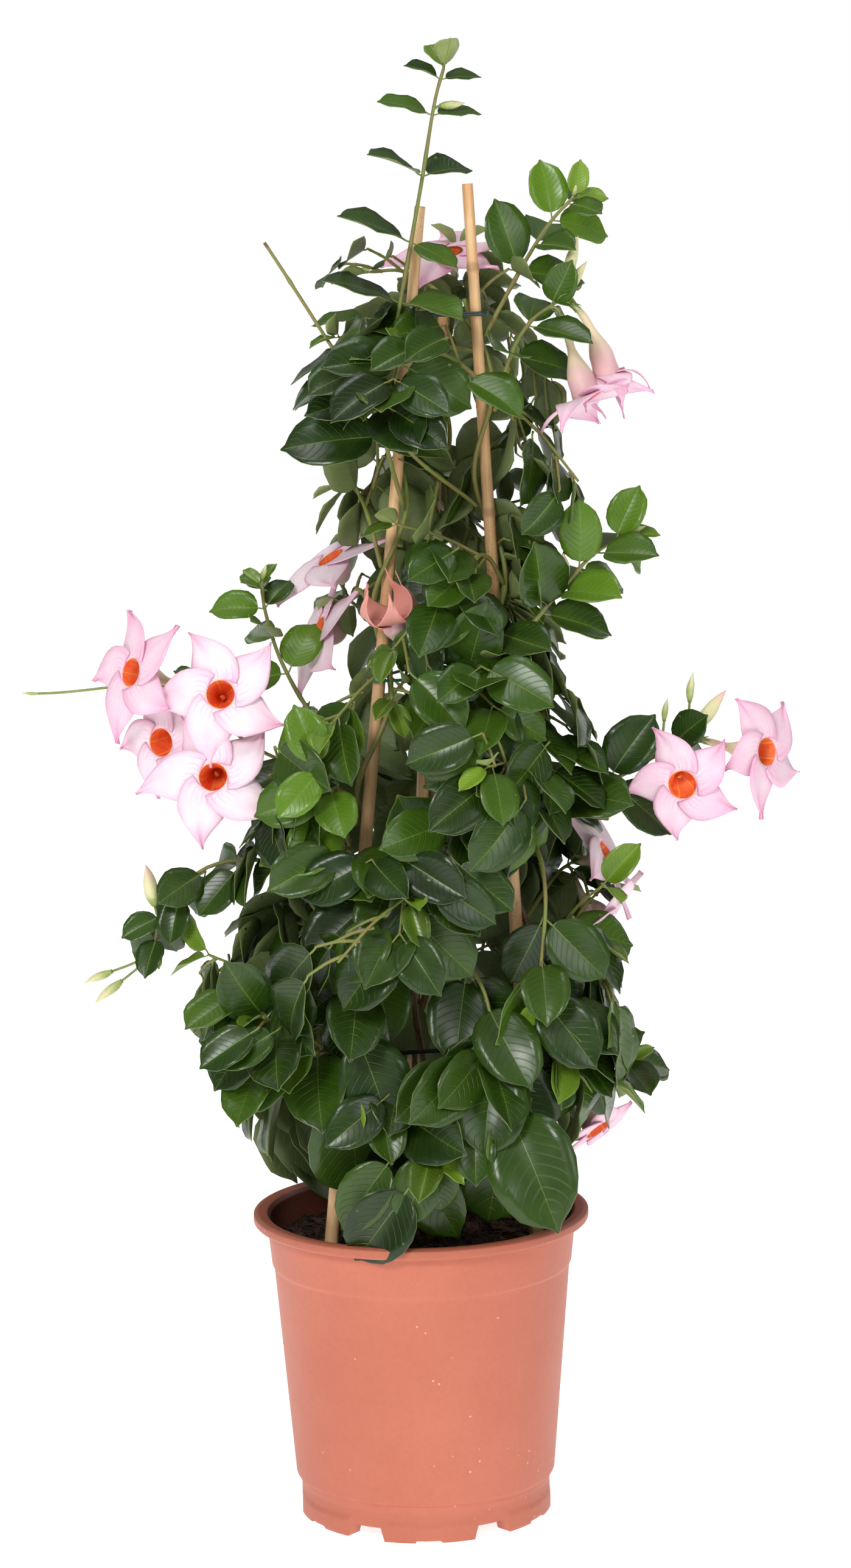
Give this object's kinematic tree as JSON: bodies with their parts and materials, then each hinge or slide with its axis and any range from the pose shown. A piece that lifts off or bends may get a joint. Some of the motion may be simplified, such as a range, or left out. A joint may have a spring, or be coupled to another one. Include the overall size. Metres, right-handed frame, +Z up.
{
  "type": "potted mandevilla",
  "caption": "Climbing mandevilla in bloom, trained up bamboo canes in a tall, tapered, terracotta-coloured nursery pot.",
  "frame": {"origin": "on the ground, under the middle of the pot", "axes": "+Z up, -Y towards the front, +X to the right as seen from the front"},
  "size_m": [0.5467, 0.2882, 1.041],
  "materials": {
    "pot": "semi-matt terracotta-coloured plastic",
    "compost": "dark, fibrous and damp",
    "bamboo": "smooth tan bamboo with knots",
    "vine": "brown and woody below, green above",
    "tie": "dark plastic",
    "wire": "bright green plastic",
    "foliage": "glossy dark green leaves with pale undersides, pink flowers"
  },
  "bodies": {
    "root": {"bloom_spent": "foliage", "buds_left": "foliage", "cane_back": "bamboo", "cane_left": "bamboo", "cane_right": "bamboo", "cut_vine": "vine", "flower_peak": "foliage", "flowers_behind": "foliage", "flowers_left": "foliage", "flowers_low": "foliage", "flowers_right": "foliage", "flowers_top": "foliage", "foliage_01": "foliage", "foliage_02": "foliage", "foliage_03": "foliage", "foliage_04": "foliage", "foliage_05": "foliage", "foliage_06": "foliage", "foliage_07": "foliage", "foliage_08": "foliage", "foliage_09": "foliage", "foliage_10": "foliage", "foliage_11": "foliage", "foliage_12": "foliage", "foliage_13": "foliage", "foliage_14": "foliage", "foliage_15": "foliage", "foliage_16": "foliage", "foliage_17": "foliage", "foliage_18": "foliage", "foliage_19": "foliage", "foliage_20": "foliage", "foliage_21": "foliage", "foliage_22": "foliage", "foliage_23": "foliage", "foliage_24": "foliage", "hook": "tie", "hoop_low": "tie", "hoop_middle": "tie", "leader": "foliage", "leaves_centre": "foliage", "leaves_front": "foliage", "leaves_left": "foliage", "leaves_low": "foliage", "leaves_mid": "foliage", "leaves_peak": "foliage", "leaves_upper": "foliage", "pot": "pot", "shoot_front": "foliage", "shoot_left": "foliage", "shoot_low": "foliage", "shoot_right": "foliage", "shoot_top": "foliage", "soil": "compost", "tie_top": "tie", "vine_back": "vine", "vine_left": "vine", "vine_middle": "vine", "vine_right": "vine", "wire_ring": "wire"}
  },
  "joints": []
}
